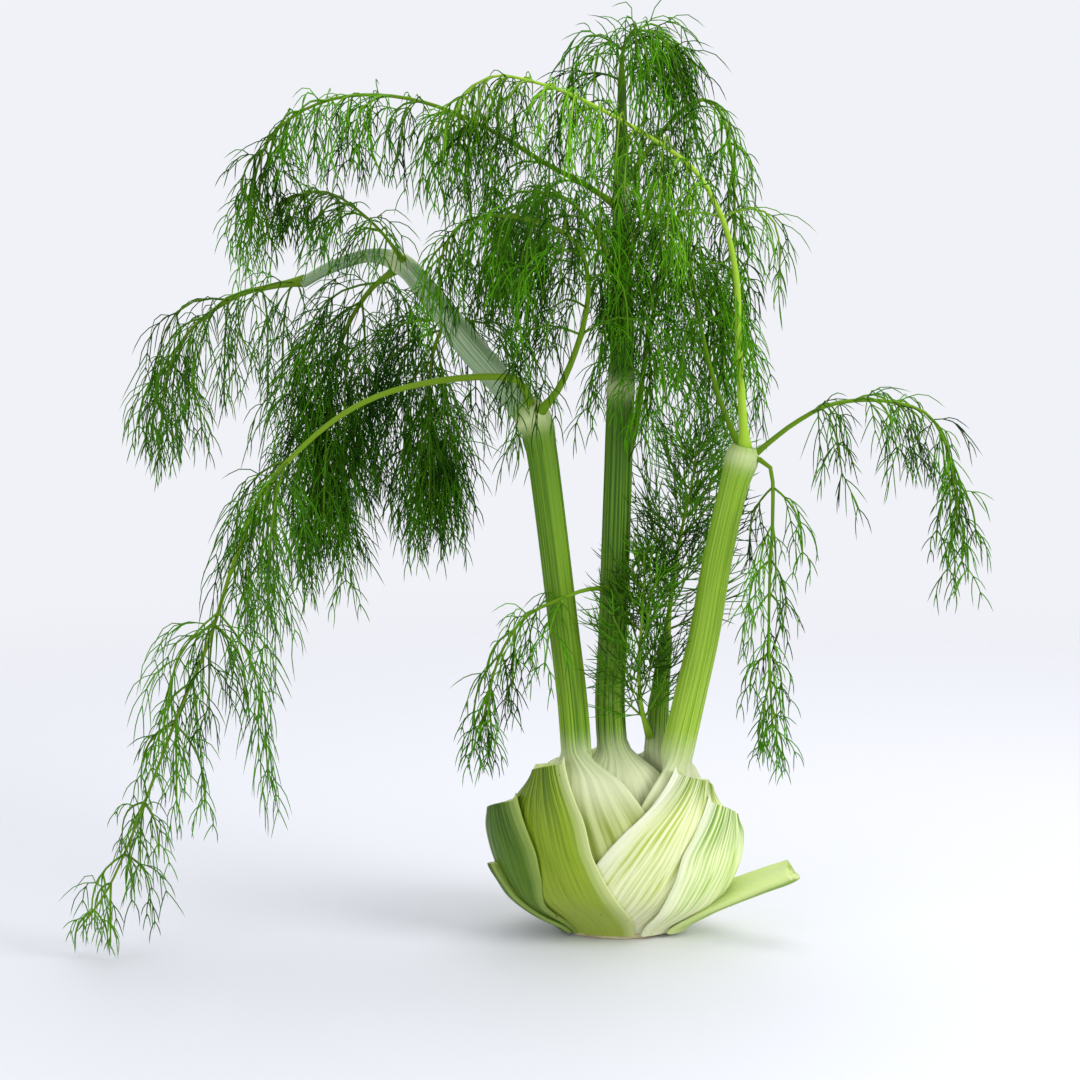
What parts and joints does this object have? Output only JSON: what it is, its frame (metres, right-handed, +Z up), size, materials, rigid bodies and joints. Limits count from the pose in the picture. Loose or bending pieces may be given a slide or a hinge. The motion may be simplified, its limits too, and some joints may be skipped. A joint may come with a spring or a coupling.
{
  "type": "fennel bulb",
  "caption": "Fennel bulb standing on its trimmed root plate, with wrapped leaf bases, cut stubs, tall stalks and feathery drooping fronds.",
  "frame": {"origin": "centre of the flat cut under the root plate, on which the bulb stands", "axes": "+Z up through the bulb and its stalks, +X to the right as pictured, -Y towards the camera"},
  "size_m": [0.3776, 0.1825, 0.3892],
  "materials": {
    "root_plate": "moist, pale, cut plant tissue",
    "leaf_base": "satin waxy skin of fresh fennel leaf bases, pale green with fine lengthwise veins",
    "stalk": "satin ribbed skin of fresh fennel stalks, mid green, whiter at the foot",
    "frond": "dark green thread leaves"
  },
  "bodies": {
    "root": {"root_plate": "root_plate", "stalk_young": "stalk", "stalk_right": "stalk", "stalk_centre": "stalk", "stalk_left": "stalk", "leaf_base_right_front": "leaf_base", "leaf_base_back_right": "leaf_base", "leaf_base_left_front": "leaf_base", "leaf_base_back_left": "leaf_base", "leaf_base_right": "leaf_base", "leaf_base_left": "leaf_base", "leaf_base_right_low": "leaf_base", "leaf_base_left_low": "leaf_base", "frond_left_long": "frond", "frond_left_back": "frond", "frond_left_behind": "frond", "frond_left_knee": "frond", "frond_left_rising": "frond", "frond_centre_left": "frond", "frond_low_left": "frond", "frond_top_left": "frond", "frond_top": "frond", "frond_upper_right": "frond", "frond_mid_right": "frond", "frond_centre_back": "frond", "frond_right_arch": "frond", "frond_right_hang": "frond", "frond_right_down": "frond", "frond_right_inner": "frond", "frond_young": "frond", "frond_young_front": "frond"}
  },
  "joints": []
}
